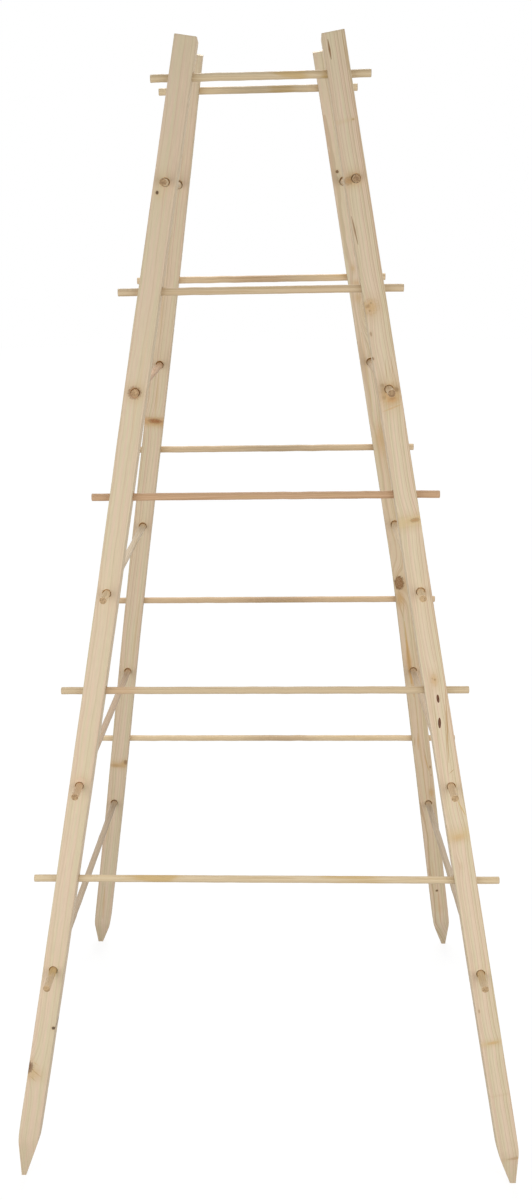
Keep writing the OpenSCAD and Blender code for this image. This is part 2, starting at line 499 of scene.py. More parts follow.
def streak_group():
    """A streak: a thin stain that lies along the front face between two points."""
    tree, given, result = mark_group("streak", ("Timber", "From", "To"), ("Width",), ("Stain",))
    run = vector(tree, "SUBTRACT", given["To"], given["From"])
    off = vector(tree, "SUBTRACT", given["Timber"], given["From"])
    share = vector(tree, "DOT_PRODUCT", off, run)
    share = held(tree, figure(tree, "DIVIDE", share, vector(tree, "DOT_PRODUCT", run, run)))
    gap = vector(tree, "LENGTH", vector(tree, "SUBTRACT", off, scaled(tree, run, share)))
    off_middle = figure(tree, "ABSOLUTE", figure(tree, "MULTIPLY_ADD", share, 2, -1))
    taper = figure(tree, "SUBTRACT", 1.0, off_middle)
    taper = figure(tree, "MULTIPLY_ADD", taper, 1 - STREAK_TIP, STREAK_TIP)
    wide = figure(tree, "MULTIPLY", given["Width"], taper)
    stain = ramp(tree, figure(tree, "DIVIDE", gap, wide), *STREAK_EDGES)
    tree.links.new(stain, result["Stain"])
    return tree


# What the marks in the wood look like
MARKS = {
    "dark": shade(60, 38, 20), "umber": shade(116, 82, 52), "brown": shade(142, 102, 64),
    "bark": shade(128, 84, 46), "red": shade(158, 100, 58), "tan": shade(184, 144, 96),
    "amber": shade(204, 150, 94), "honey": shade(206, 164, 104), "pale": shade(216, 190, 140),
    "rose": shade(230, 194, 166), "resin": shade(208, 176, 112),
}
# Where the branches left their knots. For each: across and along the front face
# in mm, whether it runs in through the face or lies across it, its radius, how
# tall it is for its width, its look, how strong and how soft that is, and how far
# it sweeps the grain.
KNOTS = {
    "front_left": [
        (-1, 1331, "in", 8.0, 1.0, "pale", 0.30, 1.0, 0.8),
        (-4.0, 1312, "in", 4.5, 0.8, "pale", 0.22, 1.0, 0.5),
        (-7.5, 1316, "in", 1.8, 1.1, "dark", 1.0, 0.1, 0.5),
        (0, 1073, "in", 8.0, 1.0, "honey", 0.22, 1.0, 0.5),
        (-0.5, 1072.5, "in", 7.6, 1.0, "red", 0.6, 0.15, 0.2),
        (0, 567, "in", 7.0, 0.8, "rose", 0.45, 0.7, 0.8),
        (11.5, 223, "in", 2.1, 1.0, "dark", 1.0, 0.1, 0.4),
        (-5.0, 153, "in", 10.0, 0.8, "honey", 0.42, 0.9, 2.5),
        (-15.0, 162, "in", 6.6, 1.25, "umber", 0.95, 0.4, 3.0),
    ],
    "front_right": [
        (7.6, 1398, "in", 1.3, 0.8, "tan", 0.8, 0.3, 0.3),
        (4, 1398, "across", 2.0, 1.0, "pale", 0.3, 1.0, 0.4),
        (-2, 1330, "in", 9.0, 0.9, "honey", 0.45, 1.0, 0.8),
        (-9, 1328, "in", 5.5, 0.8, "tan", 0.8, 0.6, 1.5),
        (-7, 1175, "in", 9.5, 1.0, "honey", 0.65, 0.8, 4.0),
        (-10, 1177, "in", 2.6, 0.8, "brown", 0.5, 0.6, 1.0),
        (-5.5, 1180, "in", 1.0, 1.2, "brown", 0.5, 0.4, 0.2),
        (-8.5, 1171, "in", 1.1, 1.2, "brown", 0.45, 0.4, 0.2),
        (-11.5, 1143, "in", 1.2, 2.4, "brown", 0.55, 0.4, 0.3),
        (-14, 1113, "in", 1.5, 1.2, "brown", 0.8, 0.2, 0.2),
        (1, 1066, "in", 12.5, 1.1, "honey", 0.7, 0.9, 3.5),
        (2, 1060, "in", 6.0, 0.7, "amber", 0.6, 0.9, 0.5),
        (-7.5, 1079, "in", 2.6, 0.8, "brown", 0.4, 0.8, 0.3),
        (8.8, 1071, "in", 3.0, 0.9, "brown", 0.6, 0.7, 0.3),
        (-7.5, 1064, "in", 2.6, 1.0, "brown", 0.4, 0.8, 0.2),
        (2.5, 1062, "in", 4.0, 0.7, "brown", 0.4, 0.8, 0.2),
        (1, 907, "across", 7.0, 1.0, "pale", 0.7, 0.9, 3.0),
        (7.0, 907.5, "in", 5.5, 0.42, "tan", 1.0, 0.7, 0.8),
        (0, 702, "in", 4.5, 1.9, "honey", 0.6, 0.9, 2.5),
        (0.8, 702, "in", 1.3, 1.0, "brown", 0.55, 0.4, 0.2),
        (-2.4, 704, "in", 0.9, 1.3, "brown", 0.35, 0.4, 0.2),
        (0, 495, "across", 7.5, 1.0, "pale", 0.5, 1.0, 2.0),
        (0, 491.5, "in", 7.5, 0.55, "honey", 0.5, 1.0, 0.8),
        (-3.5, 453, "in", 2.8, 1.9, "tan", 0.16, 0.5, 3.0),
        (-9.6, 253, "in", 1.1, 2.4, "brown", 0.5, 0.4, 0.3),
        (2, 206.5, "across", 4.0, 1.0, "pale", 0.5, 0.9, 1.2),
        (2, 206.5, "in", 7.0, 0.25, "honey", 0.6, 0.8, 0.2),
        (0, 132, "across", 1.8, 1.0, "tan", 0.12, 0.8, 0.8),
        (0, 38.5, "across", 2.2, 1.0, "tan", 0.7, 0.6, 1.0),
    ],
    "back_left": [
        (2, 989, "across", 5.5, 1.0, "amber", 0.75, 0.8, 1.6),
        (2, 989, "in", 9.5, 0.36, "red", 1.0, 0.6, 0.4),
        (1, 983, "across", 4.0, 1.0, "honey", 0.30, 1.0, 0.4),
        (-3, 384, "in", 12.0, 0.5, "honey", 0.5, 0.9, 1.0),
        (-4, 382, "in", 9.0, 0.3, "tan", 0.6, 0.8, 0.3),
        (8.5, 387, "in", 5.0, 1.3, "honey", 0.6, 0.8, 0.3),
        (11.5, 391, "in", 2.8, 1.5, "brown", 0.8, 0.5, 1.0),
    ],
    "back_right": [
        (-5.8, 1345.5, "in", 1.9, 1.0, "umber", 1.0, 0.2, 0.4),
        (-4, 1212, "in", 2.6, 2.0, "honey", 0.5, 1.0, 0.0),
        (-3, 1191, "in", 5.5, 0.7, "honey", 0.45, 1.0, 0.5),
        (-3.5, 1170, "in", 5.0, 1.4, "honey", 0.4, 1.0, 0.5),
        (1, 1148, "in", 4.0, 3.0, "pale", 0.25, 0.9, 9.0),
        (-7, 692, "in", 6.0, 2.0, "honey", 0.7, 0.9, 1.0),
        (-2, 957, "in", 6.0, 5.5, "honey", 0.55, 1.0, 0.0),
        (-5.6, 719.5, "in", 6.7, 1.65, "bark", 0.95, 0.0, 5.0),
        (10.5, 378, "in", 1.4, 1.8, "brown", 0.7, 0.4, 0.5),
        (10.5, 362, "in", 1.0, 1.4, "brown", 0.5, 0.4, 0.3),
        (7.5, 328, "in", 3.6, 2.2, "honey", 0.55, 0.8, 1.0),
        (-1.4, 125.5, "in", 2.0, 1.0, "dark", 1.0, 0.1, 0.4),
    ],
}
# Stains along the grain: from and to, across and along the front face, and the
# half width, in mm, their look and how strong they are.
STREAKS = {
    "front_left": [
        (6, 1150, 3, 1010, 2.0, "pale", 0.3),
        (-2, 700, -5, 560, 2.5, "rose", 0.25),
        (-10, 171, 0, 166, 1.0, "honey", 0.5),
        (-10, 160, 4, 151, 1.2, "tan", 0.6),
        (-11, 150, -1, 143, 1.1, "tan", 0.5),
    ],
    "front_right": [
        (10, 1500, 11.5, 1455, 1.5, "tan", 0.4),
        (-7.6, 1494, -7.2, 1471, 2.0, "brown", 0.95),
        (-12.6, 1286, -10.0, 1252, 1.9, "brown", 0.75),
        (-9.4, 1282, -8.6, 1262, 0.8, "tan", 0.3),
        (1, 1110, -1, 1082, 1.0, "tan", 0.6),
        (9, 1112, 7, 1084, 1.0, "tan", 0.55),
        (4.5, 1108, 3.5, 1085, 0.8, "tan", 0.4),
        (-12, 1047, 12, 1052, 2.0, "honey", 0.4),
        (-6, 718, -9, 640, 1.0, "tan", 0.35),
        (12.5, 692, 2, 592, 1.4, "tan", 0.8),
        (-4, 690, -8, 600, 1.1, "tan", 0.45),
        (8, 668, -1.5, 575, 1.1, "tan", 0.6),
        (10.5, 660, 4, 610, 0.9, "tan", 0.4),
        (0.5, 577.5, 7.5, 582.5, 1.0, "tan", 0.7),
        (5, 541, 12.8, 519, 1.5, "resin", 0.85),
    ],
    "back_left": [
        (-9, 1250, -4, 1120, 3, "honey", 0.25),
        (0, 1060, 1, 990, 3.5, "honey", 0.3),
        (3, 780, 5, 650, 2.5, "rose", 0.4),
        (8, 700, 6, 560, 3, "honey", 0.25),
        (-6, 300, -8, 220, 3, "honey", 0.3),
        (-2, 130, 0, 60, 3.5, "honey", 0.4),
    ],
    "back_right": [
        (0, 960, 0, 90, 60.0, "honey", 0.14),
        (-6, 1120, -7, 1000, 3.0, "honey", 0.35),
        (4.5, 985, 7, 862, 1.6, "tan", 0.65),
        (-11.5, 702, -6, 660, 1.2, "tan", 0.45),
        (-1, 692, -6, 657, 1.1, "tan", 0.5),
        (-4.6, 652, -4.4, 596, 2.4, "honey", 0.6),
        (-4.8, 618, -4.4, 540, 7.0, "honey", 0.8),
        (-5.2, 606, -4.6, 556, 3.0, "tan", 0.45),
        (6, 620, 9, 500, 2.2, "rose", 0.45),
        (-4, 560, -3, 515, 4.5, "honey", 0.45),
        (-2, 520, -1, 300, 2.0, "honey", 0.3),
        (-3.5, 446, -6, 415, 2.4, "honey", 0.6),
        (-9, 440, -11, 420, 1.6, "tan", 0.5),
        (2, 420, 7, 385, 1.4, "tan", 0.35),
        (3, 402, 8, 370, 1.8, "honey", 0.7),
        (-4, 190, -3, 130, 2.4, "honey", 0.3),
        (0, 118, -1, 55, 4.0, "honey", 0.35),
    ],
}
# Where each batten's pith ran, across and behind its middle, and how far it
# drifts over the length of the batten, in mm: this sets the lines on its faces.
PITH = {
    "front_left": (-46, 42, 5, 9), "front_right": (44, 10, -8, 5),
    "back_left": (-40, 14, 9, 4), "back_right": (-22, 24, 6, 6),
}
KNOT_AXES = {"in": Vector((0.12, 0.97, 0.18)), "across": Vector((0.98, 0.10, 0.05))}
SPRUCE = shade(224, 204, 176)
SPRUCE_ROSE, SPRUCE_STRAW = shade(225, 198, 171), shade(216, 202, 165)
KNOT_HALO, KNOT_RIM = shade(200, 168, 118), shade(104, 70, 42)
END_GRAIN = shade(196, 170, 134)
# How wide each batten's yearly rings are, in mm, and how strongly they show
RINGS = {
    "front_left": (2.6, 0.36), "front_right": (3.2, 0.62),
    "back_left": (3.2, 0.5), "back_right": (2.8, 0.85),
}
# When in the year the late wood begins, is full and stops, what share of the year
# it comes to, and how much red, green and blue it loses
SPRUCE_SEASON = (0.35, 0.92, 0.94)
LATE_SHARE, LATE_DEPTH = 0.21, (0.34, 0.46, 0.62)
# Lean and fat years: how often they take turns and how far they shift the rings.
# Some rings show faintly: how often these come, for what noise, and how faintly.
LEAN_PACE, LEAN_SHIFT = 0.37, 2.2
FAINT_PACE, FAINT_NOISE, FAINTEST = 0.21, (0.25, 0.7), 0.35
# The grain's slow wander, its fibres and its bands of tone: how fine each is
# across, back and along, in patterns to the metre, and how far the grain wanders.
GRAIN_WANDER, GRAIN_SHIFT = (26, 26, 5.5), 0.007
FIBRES, TONE_BANDS = (2300, 2300, 60), (230, 230, 7)
FIBRE_SHADES = (0.955, 1.03)
TONE_SHARE = 0.6
HALO_SHARE, RIM_SHARE, SAWN_SHARE = 0.3, 0.7, 0.55
SPRUCE_ROUGH = (0.68, 0.56)
SPRUCE_RELIEF, SPRUCE_RELIEF_DEPTH = (0.5, 0.5), 0.00012


def spruce(name, knot, streak):
    """Planed spruce for one post, with that post's own rings, knots and stains."""
    material, tree = blank_material("spruce_" + name)
    timber = attribute(tree, "timber", "Vector")
    place = split(tree, timber)
    # how far the grain wanders, and how far the knots push it aside
    wander = grain_noise(tree, timber, GRAIN_WANDER, 3.0)
    lift = figure(tree, "MULTIPLY_ADD", wander, GRAIN_SHIFT, -GRAIN_SHIFT / 2)
    stains = []
    for across, along, axis, radius, tall, look, strong, soft, sweep in KNOTS[name]:
        made = put(tree, "ShaderNodeGroup", {
            "Timber": timber, "Place": (across * MM, -POST_SIDE / 2, along * MM),
            "Axis": KNOT_AXES[axis].normalized(), "Radius": radius * MM, "Tall": tall,
            "Soft": soft, "Sweep": sweep * MM,
        }, node_tree=knot).outputs
        lift = figure(tree, "ADD", lift, made["Sweep"])
        stains += [
            (made["Halo"], strong * HALO_SHARE, KNOT_HALO), (made["Heart"], strong, MARKS[look]),
            (made["Rim"], strong ** 2 * RIM_SHARE, KNOT_RIM),
        ]
    for from_x, from_z, to_x, to_z, width, look, strong in STREAKS[name]:
        made = put(tree, "ShaderNodeGroup", {
            "Timber": timber, "From": (from_x * MM, -POST_SIDE / 2, from_z * MM),
            "To": (to_x * MM, -POST_SIDE / 2, to_z * MM), "Width": width * MM,
        }, node_tree=streak).outputs
        stains.append((made["Stain"], strong, MARKS[look]))
    # yearly rings, round the pith
    pith_x, pith_y = (
        figure(tree, "MULTIPLY_ADD", place[2], drift * MM / BATTEN_LENGTH, start * MM)
        for start, drift in zip(PITH[name][:2], PITH[name][2:])
    )
    reach = figure(tree, "ADD", pith_distance(tree, place, pith_x, pith_y), lift)
    ring, lines = RINGS[name]
    years = figure(tree, "DIVIDE", reach, ring * MM)
    lean = noise_along(tree, figure(tree, "MULTIPLY", years, LEAN_PACE), 1.0)
    years = figure(tree, "MULTIPLY_ADD", lean, LEAN_SHIFT, years)
    late = late_wood(tree, years, *SPRUCE_SEASON)
    strength = noise_along(tree, figure(tree, "MULTIPLY", years, FAINT_PACE), 0.0)
    late = figure(tree, "MULTIPLY", late, ramp(tree, strength, *FAINT_NOISE, FAINTEST))
    # fine fibres and slow changes of tone
    fibre = grain_noise(tree, timber, FIBRES)
    tone = grain_noise(tree, timber, TONE_BANDS)
    warm = tint(tree, ramp(tree, tone, *NOISE_MIDDLE), SPRUCE_STRAW, SPRUCE_ROSE)
    colour = tint(tree, TONE_SHARE, SPRUCE, warm)
    # the late wood of each year is darker and browner, the rest as much paler
    paler = figure(tree, "MULTIPLY_ADD", late, -lines, LATE_SHARE * lines)
    darker = ramp(tree, fibre, *NOISE_MOST, *FIBRE_SHADES)
    channels = [
        figure(tree, "MULTIPLY", darker, figure(tree, "MULTIPLY_ADD", paler, depth, 1.0))
        for depth in LATE_DEPTH
    ]
    lined = put(tree, "ShaderNodeCombineColor", dict(enumerate(channels))).outputs[0]
    colour = tint(tree, 1.0, colour, lined, "MULTIPLY")
    stains.append((attribute(tree, "sawn"), SAWN_SHARE, END_GRAIN))
    for shape, strong, look in stains:
        colour = tint(tree, figure(tree, "MULTIPLY", shape, strong), colour, look)
    rough = ramp(tree, fibre, *NOISE_MOST, *SPRUCE_ROUGH)
    bare_wood(tree, colour, rough, lines_of(tree, late, fibre, SPRUCE_RELIEF), SPRUCE_RELIEF_DEPTH)
    return material


# Torn fibres: how fine they are, how deep, and how strongly they show
FUZZ_SCALE, FUZZ_DEPTH, FUZZ_RELIEF = 900.0, 0.0003, 0.6


def torn_wood(name, under, over, rough):
    """Torn or stained wood inside a hole or a pocket."""
    material, tree = blank_material(name)
    spot = put(tree, "ShaderNodeTexCoord").outputs["Object"]
    fuzz = {"Vector": spot, "Scale": FUZZ_SCALE, "Detail": 3.0}
    fuzz = put(tree, "ShaderNodeTexNoise", fuzz).outputs[0]
    colour = tint(tree, ramp(tree, fuzz, *NOISE_MOST), under, over)
    bare_wood(tree, colour, rough, fuzz, FUZZ_DEPTH, FUZZ_RELIEF)
    return material


def rows_of(parts, label):
    """One vector of every point or face of a mesh, as rows."""
    rows = np.empty(len(parts) * 3, np.float32)
    parts.foreach_get(label, rows)
    return rows.reshape(-1, 3)


drilled = torn_wood("drilled_wood", shade(214, 172, 108), shade(230, 198, 144), 0.85)
resin = torn_wood("resin", shade(84, 50, 28), shade(136, 84, 48), 0.32)
knot = knot_group()
streak = streak_group()
# A post's edges between faces that meet at more than this stay crisp
POST_CRISP = math.radians(32)
# How fast a face that turns towards the batten's ends comes to count as sawn
SAWN_TURN = 1.1

for seed, (ladder, side) in enumerate(POSTS, FIRST_SEED):
    name = f"{ladder}_{side}"
    length, stance = post_stance(ladder, side)
    mesh = batten((ladder, side), length, seed)
    mesh.transform(stance)
    # the foot is sawn level with the ground
    sliced = bmesh.ops.bisect_plane(
        mesh, geom=mesh.verts[:] + mesh.edges[:] + mesh.faces[:],
        plane_co=(0, 0, 0), plane_no=(0, 0, -1), clear_outer=True,
    )
    rim = [part for part in sliced["geom_cut"] if isinstance(part, bmesh.types.BMEdge)]
    bmesh.ops.edgeloop_fill(mesh, edges=rim)
    post = object_of("post_" + name + "_timber", mesh)
    post.data.materials.append(spruce(name, knot, streak))
    cutters = bmesh.new()
    for level in RUNG_LEVELS:
        bore(cutters, (ladder, side), rung_ends(ladder, level), LADDER_MOUTH)
        bore(cutters, (ladder, side), rung_ends(side, level), SIDE_MOUTH)
    cut(post, object_of("holes_" + name, cutters), drilled)
    if name in RESIN_POCKETS:
        cutters = bmesh.new()
        for pocket in RESIN_POCKETS[name]:
            resin_pocket(cutters, stance, pocket)
        cut(post, object_of("pockets_" + name, cutters), resin)
    # each point's own place in its batten, for the grain to follow
    data = post.data
    back_to_batten = np.array(stance.inverted())
    local = rows_of(data.vertices, "co") @ back_to_batten[:3, :3].T + back_to_batten[:3, 3]
    local[:, 0] -= bow((ladder, side), local[:, 2], length)
    timber = data.attributes.new("timber", "FLOAT_VECTOR", "POINT")
    timber.data.foreach_set("vector", local.astype(np.float32).ravel())
    # and how far each face looks along the batten, as its sawn ends do
    turned = np.abs((rows_of(data.polygons, "normal") @ np.array(stance.to_3x3()))[:, 2])
    sawn = data.attributes.new("sawn", "FLOAT", "FACE")
    sawn.data.foreach_set("value", np.clip(turned * SAWN_TURN, 0, 1).astype(np.float32))
    data.set_sharp_from_angle(angle=POST_CRISP)
    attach(post, "root")
    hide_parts("post_" + name)

# ---------------------------------------------------------------------------
# The rungs: turned softwood dowel, sawn to length with a light chamfer and
# pushed through the holes of two posts, with the ends left standing out.
# ---------------------------------------------------------------------------
RUNG_DIAMETER = 0.0095
RUNG_CHAMFER = 0.0005
# How far a dowel is out of straight, how fast that changes along it, and how far
# apart the dowels' own bends and their sways and dips are drawn from the noise
RUNG_CROOK, CROOK_PACE = 0.0009, 9.0
CROOK_SEED_STEP, CROOK_DIP_STEP = 7.31, 53.0
# How far they stick out past the posts: the front and back ones at the ground's
# and at the stand's top height, and the side ones with what each adds to that or
# takes off it, in mm.
LADDER_TAIL = (0.033, 0.024)
SIDE_TAIL = 0.038
MORE_TAIL = {"left": (8, -2, -5, -32, -4), "right": (0, 0, -6, 2, -30)}
# How far each sits to the right of its posts' middle, from the ground up, in mm
RUNG_SLIP = {
    "front": (0, 0, 3, -1, 1), "back": (-1, -3, 0, -3, -1),
    "left": (0,) * 5, "right": (0,) * 5,
}
# How red each dowel is, from pale to the one that is clearly redder
RUNG_REDNESS = {
    "front": (0.0, 0.08, 0.97, 0.18, 0.0), "back": (0.1, 0.42, 0.25, 0.25, 0.0),
    "left": (0.3, 0.55, 0.1, 0.9, 0.15), "right": (0.2, 0.3, 0.1, 0.3, 0.3),
}
# How light each is, and how much painted shade darkens those of a side round a
# place a little to the right of their middles, which only the back ones have, and
# between which distances from it that fades
RUNG_TONE = {
    "front": (1.06, 1.0, 0.97, 1.01, 1.05), "back": (1.2, 1.1, 1.09, 1.2, 1.17),
    "left": (1.08, 1.18, 1.3, 1.1, 1.1), "right": (1.1, 1.2, 1.28, 1.1, 1.1),
}
MIDDLE_PAINTED_SHADE = {"front": 0.0, "back": 0.18, "left": 0.0, "right": 0.0}
MIDDLE_SHADE_PLACE, MIDDLE_SHADE_REACHES = 0.012, (0.085, 0.01)
# Painted shade: how much greyer and darker the side rungs are painted between
# their posts, which starts and is full at these distances from their ends
SIDE_PAINTED_SHADE = {
    "front": (0.0,) * 5, "back": (0.0,) * 5,
    "left": (0.95, 0.95, 0.9, 0.45, 0.1), "right": (0.95, 0.75, 0.4, 0.3, 0.0),
}
SIDE_SHADE_FROM = (0.05, 0.09)
# How free of stain the two ends are, between which distances from them that
# fades, and how dark their sawn faces have turned
BARE_ENDS = {"front": 0.0, "back": 0.7, "left": 0.0, "right": 0.0}
BARE_WITHIN = (0.055, 0.035)
SAWN_DARK = {
    "front": (0.1,) * 5, "back": (0.1,) * 5,
    "left": (0.05, 0.25, 0.2, 0.0, 0.3), "right": (0.1, 0.0, 0.0, 0.45, 0.55),
}
# Stretches of single dowels that are stained: how far from the middle of the
# rung in mm, over what reach either way, and how strongly. The first lot has
# darkened to honey, in up to two places, and the second has blushed. From its
# ends inwards a stretch fades in, over these shares of its reach.
HONEY_STRETCHES = {
    "front_rung_1": [(-140, 34, 1.0), (112, 75, 0.95)], "front_rung_2": [(-92, 45, 0.4), (180, 60, 0.35)],
    "front_rung_5": [(38, 32, 0.85), (80, 12, 0.8)], "back_rung_5": [(32, 30, 0.8), (-70, 20, 0.2)],
    "back_rung_1": [(-112, 30, 0.45), (165, 40, 0.3)], "back_rung_3": [(-150, 25, 0.4), (120, 30, 0.2)],
    "left_rung_1": [(-286, 36, 1.6)], "right_rung_1": [(-292, 40, 0.75)],
    "right_rung_2": [(-215, 30, 0.3)], "left_rung_5": [(-125, 25, 0.7)],
}
BLUSH_STRETCHES = {
    "front_rung_2": (-190, 40, 0.5), "back_rung_4": (0, 60, 0.3), "back_rung_1": (20, 70, 0.25),
    "back_rung_2": (20, 90, 0.2), "front_rung_3": (-95, 60, 0.15), "front_rung_4": (60, 60, 0.1),
}
NO_STRETCH = (0, 0, 0)
STRETCH_EDGES = (1.0, 0.25)
# How many faces a dowel has round it and along it, and what share of the way out
# counts as its very end
DOWEL_FACETS, DOWEL_SEGMENTS = 28, 40
VERY_END = 0.9999


def dowel_tree():
    """One rung through two posts, from the points at which it crosses their middles."""
    tree = bpy.data.node_groups.new("dowel", "GeometryNodeTree")
    for label, kind in (
        ("From", "Vector"), ("To", "Vector"), ("Length", "Float"), ("Slip", "Float"),
        ("Diameter", "Float"), ("Chamfer", "Float"), ("Crook", "Float"), ("Seed", "Float"),
        ("Redness", "Float"), ("Tone", "Float"), ("Middle Painted Shade", "Float"),
        ("Honey", "Vector"), ("More Honey", "Vector"), ("Blush", "Vector"),
        ("Bare Ends", "Float"), ("Painted Grey Shade", "Float"), ("Sawn", "Float"), ("Wood", "Material"),
    ):
        tree.interface.new_socket(label, in_out="INPUT", socket_type="NodeSocket" + kind)
    tree.interface.new_socket("Dowel", in_out="OUTPUT", socket_type="NodeSocketGeometry")
    given = tree.nodes.new("NodeGroupInput").outputs
    result = tree.nodes.new("NodeGroupOutput").inputs

    run = vector(tree, "SUBTRACT", given["To"], given["From"])
    along = vector(tree, "NORMALIZE", run)
    half = figure(tree, "MULTIPLY", given["Length"], 0.5)
    middle = vector(tree, "ADD", given["From"], scaled(tree, run, 0.5))
    middle = vector(tree, "ADD", middle, scaled(tree, along, given["Slip"]))
    up = joined(tree, 0.0, 0.0, 1.0)
    aside = vector(tree, "CROSS_PRODUCT", up, along)

    # a plain rod of radius 1 and half-length 1, which the rest gives its size
    rod = put(tree, "GeometryNodeMeshCylinder", {
        "Vertices": DOWEL_FACETS, "Side Segments": DOWEL_SEGMENTS, "Fill Segments": 3,
        "Radius": 1.0, "Depth": 2.0,
    }, fill_type="TRIANGLE_FAN").outputs["Mesh"]
    x, y, z = split(tree, put(tree, "GeometryNodeInputPosition").outputs[0])
    share_out = figure(tree, "ABSOLUTE", z)
    at_end = figure(tree, "GREATER_THAN", share_out, VERY_END)
    shoulder = figure(tree, "SUBTRACT", half, given["Chamfer"])
    out = figure(tree, "DIVIDE", share_out, 1 - 2 / DOWEL_SEGMENTS)
    out = figure(tree, "MULTIPLY", out, shoulder)
    ways = {"Switch": at_end, "False": out, "True": half}
    out = put(tree, "GeometryNodeSwitch", ways, input_type="FLOAT").outputs[0]
    out = figure(tree, "MULTIPLY", out, figure(tree, "SIGN", z))
    radius = figure(tree, "MULTIPLY", given["Diameter"], 0.5)
    radius = figure(tree, "SUBTRACT", radius, figure(tree, "MULTIPLY", at_end, given["Chamfer"]))
    x = figure(tree, "MULTIPLY", x, radius)
    y = figure(tree, "MULTIPLY", y, radius)

    def astray(start):
        """How far the rung is out of straight, one way."""
        sway = figure(tree, "SUBTRACT", noise_along(tree, start, 1.0), 0.5)
        return figure(tree, "MULTIPLY", sway, given["Crook"])

    # turned dowel is never quite straight
    seeded = figure(tree, "MULTIPLY", out, CROOK_PACE)
    seeded = figure(tree, "MULTIPLY_ADD", given["Seed"], CROOK_SEED_STEP, seeded)
    sway = figure(tree, "ADD", x, astray(seeded))
    dip = figure(tree, "ADD", y, astray(figure(tree, "ADD", seeded, CROOK_DIP_STEP)))
    spot = vector(tree, "ADD", middle, scaled(tree, along, out))
    spot = vector(tree, "ADD", spot, scaled(tree, aside, sway))
    spot = vector(tree, "ADD", spot, scaled(tree, up, dip))

    def stretch(stain):
        """How strongly a stretch of the rung is stained."""
        place, reach, strength = split(tree, stain)
        gap = figure(tree, "ABSOLUTE", figure(tree, "SUBTRACT", out, place))
        share = figure(tree, "DIVIDE", gap, figure(tree, "MAXIMUM", reach, MM))
        return figure(tree, "MULTIPLY", ramp(tree, share, *STRETCH_EDGES), strength)

    honey = figure(tree, "ADD", stretch(given["Honey"]), stretch(given["More Honey"]))
    from_end = figure(tree, "SUBTRACT", half, figure(tree, "ABSOLUTE", out))
    bare = figure(tree, "MULTIPLY", ramp(tree, from_end, *BARE_WITHIN), given["Bare Ends"])
    # painted shade: the back rungs darker round a place a little to the right of their middles
    off_middle = figure(tree, "ABSOLUTE", figure(tree, "SUBTRACT", out, MIDDLE_SHADE_PLACE))
    loss = figure(tree, "MULTIPLY", ramp(tree, off_middle, *MIDDLE_SHADE_REACHES), given["Middle Painted Shade"])
    # what the finish reads at each point of the rung
    kept = {
        "stick": joined(tree, x, y, out),
        "from_end": from_end,
        "redness": figure(tree, "ADD", given["Redness"], stretch(given["Blush"])),
        "tone": figure(tree, "MULTIPLY", given["Tone"], figure(tree, "SUBTRACT", 1.0, loss)),
        "honey": figure(tree, "SUBTRACT", honey, bare),
        "batch": given["Seed"],
        "darkened": given["Sawn"],
        # painted shade on the side rungs between their posts
        "painted_grey_shade": figure(tree, "MULTIPLY", ramp(tree, from_end, *SIDE_SHADE_FROM), given["Painted Grey Shade"]),
    }
    for label, value in kept.items():
        kind = "FLOAT_VECTOR" if label == "stick" else "FLOAT"
        feeds = {"Geometry": rod, "Name": label, "Value": value}
        rod = put(tree, "GeometryNodeStoreNamedAttribute", feeds, data_type=kind).outputs[0]
    rod = put(tree, "GeometryNodeSetPosition", {"Geometry": rod, "Position": spot}).outputs[0]
    rod = put(tree, "GeometryNodeSetShadeSmooth", {"Geometry": rod}).outputs[0]
    rod = put(tree, "GeometryNodeRealizeInstances", {"Geometry": rod}).outputs[0]
    rod = put(tree, "GeometryNodeSetMaterial", {"Geometry": rod, "Material": given["Wood"]}).outputs[0]
    tree.links.new(rod, result["Dowel"])
    return tree


DOWEL_PALE, DOWEL_DARK = shade(221, 202, 169), shade(196, 170, 130)
DOWEL_HONEY = shade(200, 169, 112)
DOWEL_RED_PALE, DOWEL_RED_DARK = shade(214, 178, 142), shade(186, 144, 106)
DOWEL_END, DOWEL_END_DARK = shade(204, 172, 128), shade(128, 92, 58)
# What the painted grey shade takes from the colour under it
DOWEL_SHADE_TINT = (0.79, 0.83, 0.94, 1.0)
# How far the pith lies from the dowel's middle, how far it has turned round it
# from one dowel to the next, the width of a yearly ring, and how much the grain
# wanders across the dowel and runs out along it
DOWEL_PITH, PITH_TURN = 0.016, 2.4
DOWEL_RING, DOWEL_WANDER, DOWEL_RUNOUT = 0.0017, 0.004, 0.006
# How fine the wander, the fibres and the stains are across, back and along, in
# patterns to the metre, and how fine the specks on a sawn end are
DOWEL_SLOW, DOWEL_FIBRES, DOWEL_STAINS = (60, 60, 7), (2600, 2600, 70), (120, 120, 9)
SPECK_SCALE = 420.0
# When in the year the late wood begins, is full and stops, and how much it and
# the fibres darken the wood
DOWEL_SEASON, DOWEL_LINES = (0.3, 0.9, 0.92), (0.5, 0.35)
# How much a honey stretch adds to the noise that stains, where the stain begins
# and is full, and how strong it is then
HONEY_SHARE, HONEY_EDGES, HONEY_COVER = 0.30, (0.60, 0.84), 0.75
# How far a sawn end's own look reaches in from it, its share of the colour, and
# how much its rings and its specks darken it
SAWN_EDGES, SAWN_COVER = (0.00045, 0.00005), 0.85
SAWN_RINGS, SAWN_SPECKS = 0.5, (-0.25, 0.45)
DOWEL_ROUGH = (0.62, 0.5)
DOWEL_RELIEF, DOWEL_RELIEF_DEPTH = (0.4, 0.6), 0.0001


